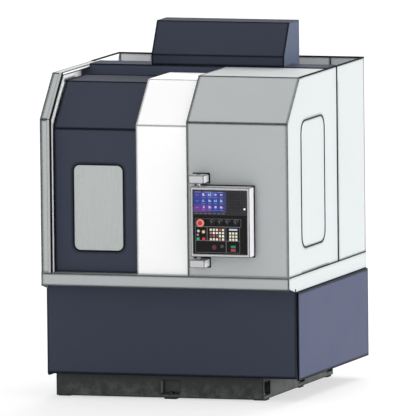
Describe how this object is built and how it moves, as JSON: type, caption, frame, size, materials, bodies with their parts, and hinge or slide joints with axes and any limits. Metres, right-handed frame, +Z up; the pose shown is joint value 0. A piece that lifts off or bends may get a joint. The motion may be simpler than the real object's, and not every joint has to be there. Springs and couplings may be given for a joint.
{
  "type": "cnc vertical lathe",
  "caption": "Enclosed CNC vertical lathe with a wrap-over sliding door, hinged operator panel, column hood, skirted deck and cast bed on levelling feet.",
  "frame": {"origin": "on the floor, under the middle of the machine's overall box", "axes": "+Z up, +X to the operator's right when facing the door, +Y towards the rear"},
  "size_m": [2.032, 2.186, 2.838],
  "materials": {
    "pale_paint": "fine-textured pale grey enamel",
    "white_paint": "smooth white enamel",
    "dark_paint": "fine-textured blue-grey enamel",
    "charcoal_paint": "charcoal machine paint over rough casting",
    "bare_steel": "ground steel",
    "chamber_steel": "dull stainless sheet",
    "machine_grey": "grey machine paint",
    "chuck_steel": "turned and ground steel",
    "shoe_plastic": "black wear-resistant plastic",
    "window_pane": "light grey polycarbonate",
    "black_rubber": "matt black rubber",
    "black_fascia": "satin black panel",
    "screen_face": "lit blue display",
    "cream_keys": "cream key caps",
    "red_plastic": "glossy red",
    "button_plastic": "coloured lamp caps"
  },
  "bodies": {
    "machine": {"access_hatches": "pale_paint", "bed_casting": "charcoal_paint", "centre_cover": "white_paint", "chamber_rear_wall": "chamber_steel", "chuck_body": "chuck_steel", "chuck_jaws": "chuck_steel", "column_hood": "dark_paint", "control_side_cover": "pale_paint", "cross_slide": "machine_grey", "door_rails": "bare_steel", "front_deck_rail": "pale_paint", "front_skirt": "dark_paint", "left_rear_wall": "pale_paint", "left_side_wall": "pale_paint", "levelling_feet": "bare_steel", "panel_brackets": "pale_paint", "panel_hinge_pins": "bare_steel", "ram": "machine_grey", "rear_deck_rail": "pale_paint", "rear_skirt": "dark_paint", "rear_wall_panel": "pale_paint", "right_rear_wall": "pale_paint", "right_side_wall": "pale_paint", "roof_panel": "dark_paint", "side_deck_rails": "pale_paint", "side_skirts": "dark_paint", "spindle_housing": "machine_grey", "splash_deck": "chamber_steel", "tool_holders": "chuck_steel", "tool_turret": "chuck_steel", "way_covers": "chamber_steel", "well_cover": "dark_paint"},
    "door": {"door_leaf": "dark_paint", "door_window": "window_pane", "window_gasket": "black_rubber", "door_shoes": "shoe_plastic"},
    "operator_panel": {"operator_panel_housing": "pale_paint", "operator_fascia": "black_fascia", "control_unit": "black_fascia", "display_screen": "screen_face", "data_keys": "black_fascia", "function_keys": "cream_keys", "emergency_stop": "red_plastic", "selector_dials": "black_fascia", "push_buttons": "button_plastic"}
  },
  "joints": [
    {"name": "door_slide", "type": "slide", "parent": "machine", "child": "door", "axis": [1, 0, 0], "range_m": [0, 0.64]},
    {"name": "panel_swing", "type": "hinge", "parent": "machine", "child": "operator_panel", "pos_m": [0.3, -0.995, 1.4155], "axis": [0, 0, -1], "range_deg": [0, 90]}
  ]
}
